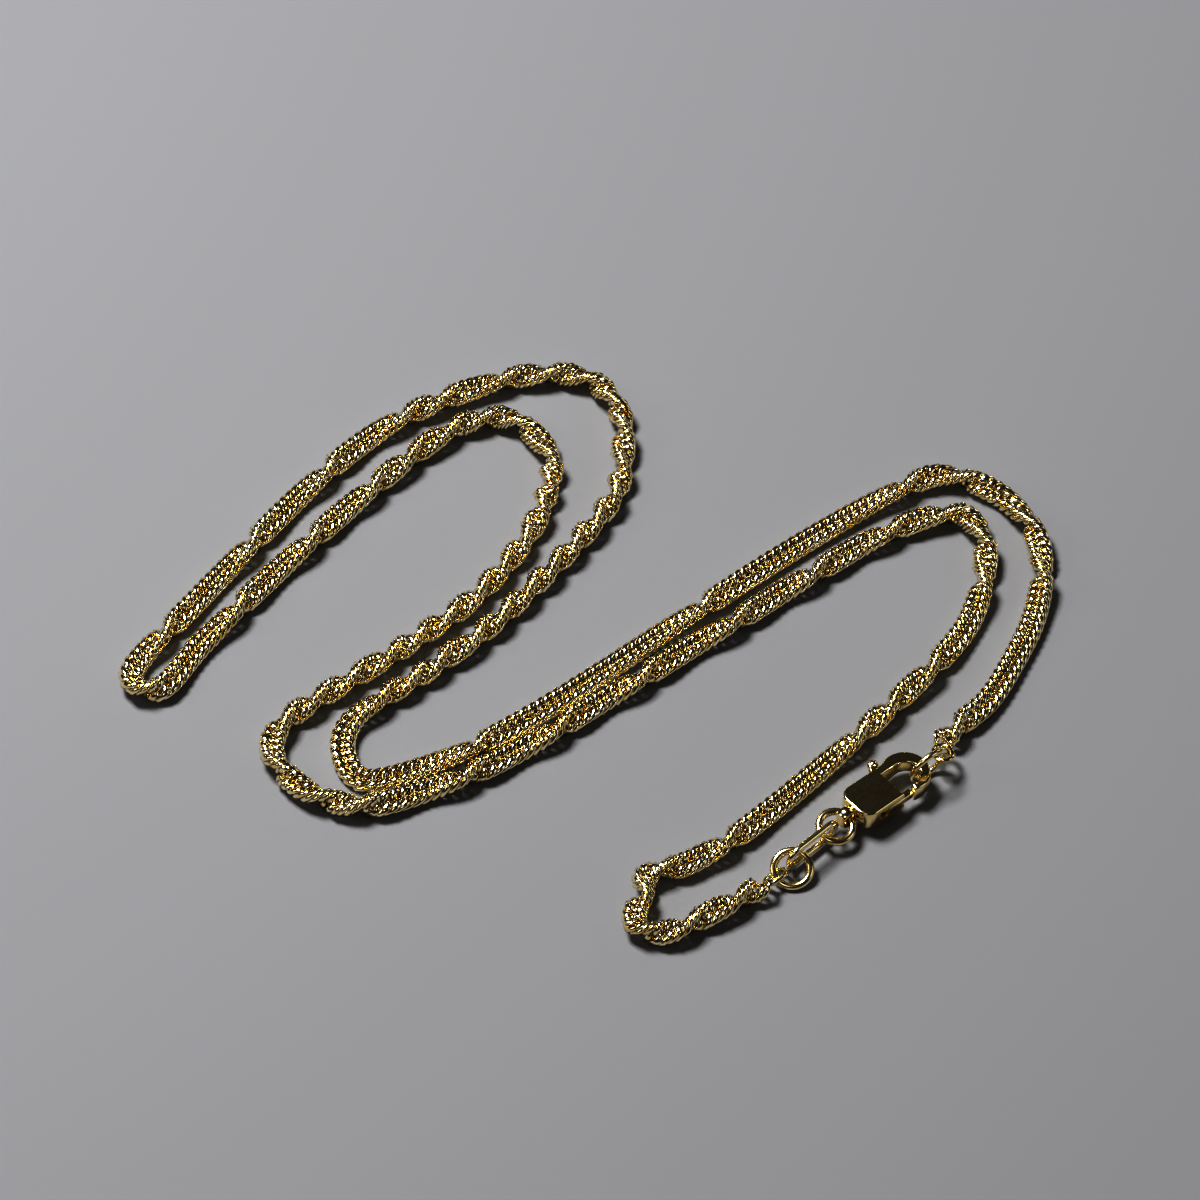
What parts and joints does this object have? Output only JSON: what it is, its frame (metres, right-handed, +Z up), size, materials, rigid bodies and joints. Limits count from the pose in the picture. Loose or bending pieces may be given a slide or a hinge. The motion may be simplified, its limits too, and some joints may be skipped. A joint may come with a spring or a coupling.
{
  "type": "singapore chain necklace",
  "caption": "Fine twisted diamond-cut chain closed by a lobster clasp on jump rings, lying in loose S-shaped bends.",
  "frame": {"origin": "middle of the bounding box on the surface that the chain lies on", "axes": "+X to the right along the longest reach, +Y away from the viewer, +Z up from the surface"},
  "size_m": [0.0846, 0.0677, 0.0042],
  "materials": {
    "chain_gold": "polished gold alloy, diamond-cut facets",
    "clasp_gold": "mirror polished gold alloy",
    "ring_gold": "polished gold alloy wire"
  },
  "bodies": {
    "necklace": {"chain": "chain_gold", "hook_end_link": "chain_gold", "ring_end_link": "chain_gold", "catch_ring": "ring_gold", "clasp_body": "clasp_gold", "lever_pin": "clasp_gold", "tail_ring": "ring_gold", "connector_link": "ring_gold", "end_ring": "ring_gold"},
    "lever": {"clasp_lever": "clasp_gold"}
  },
  "joints": [
    {"name": "lever_hinge", "type": "hinge", "parent": "necklace", "child": "lever", "pos_m": [0.02602, -0.01888, 0.00166], "axis": [0.0316, 0.0275, 0.9991], "range_deg": [0, 20], "stiffness_Nm_per_rad": 0.002, "springref_deg": -11.46}
  ]
}
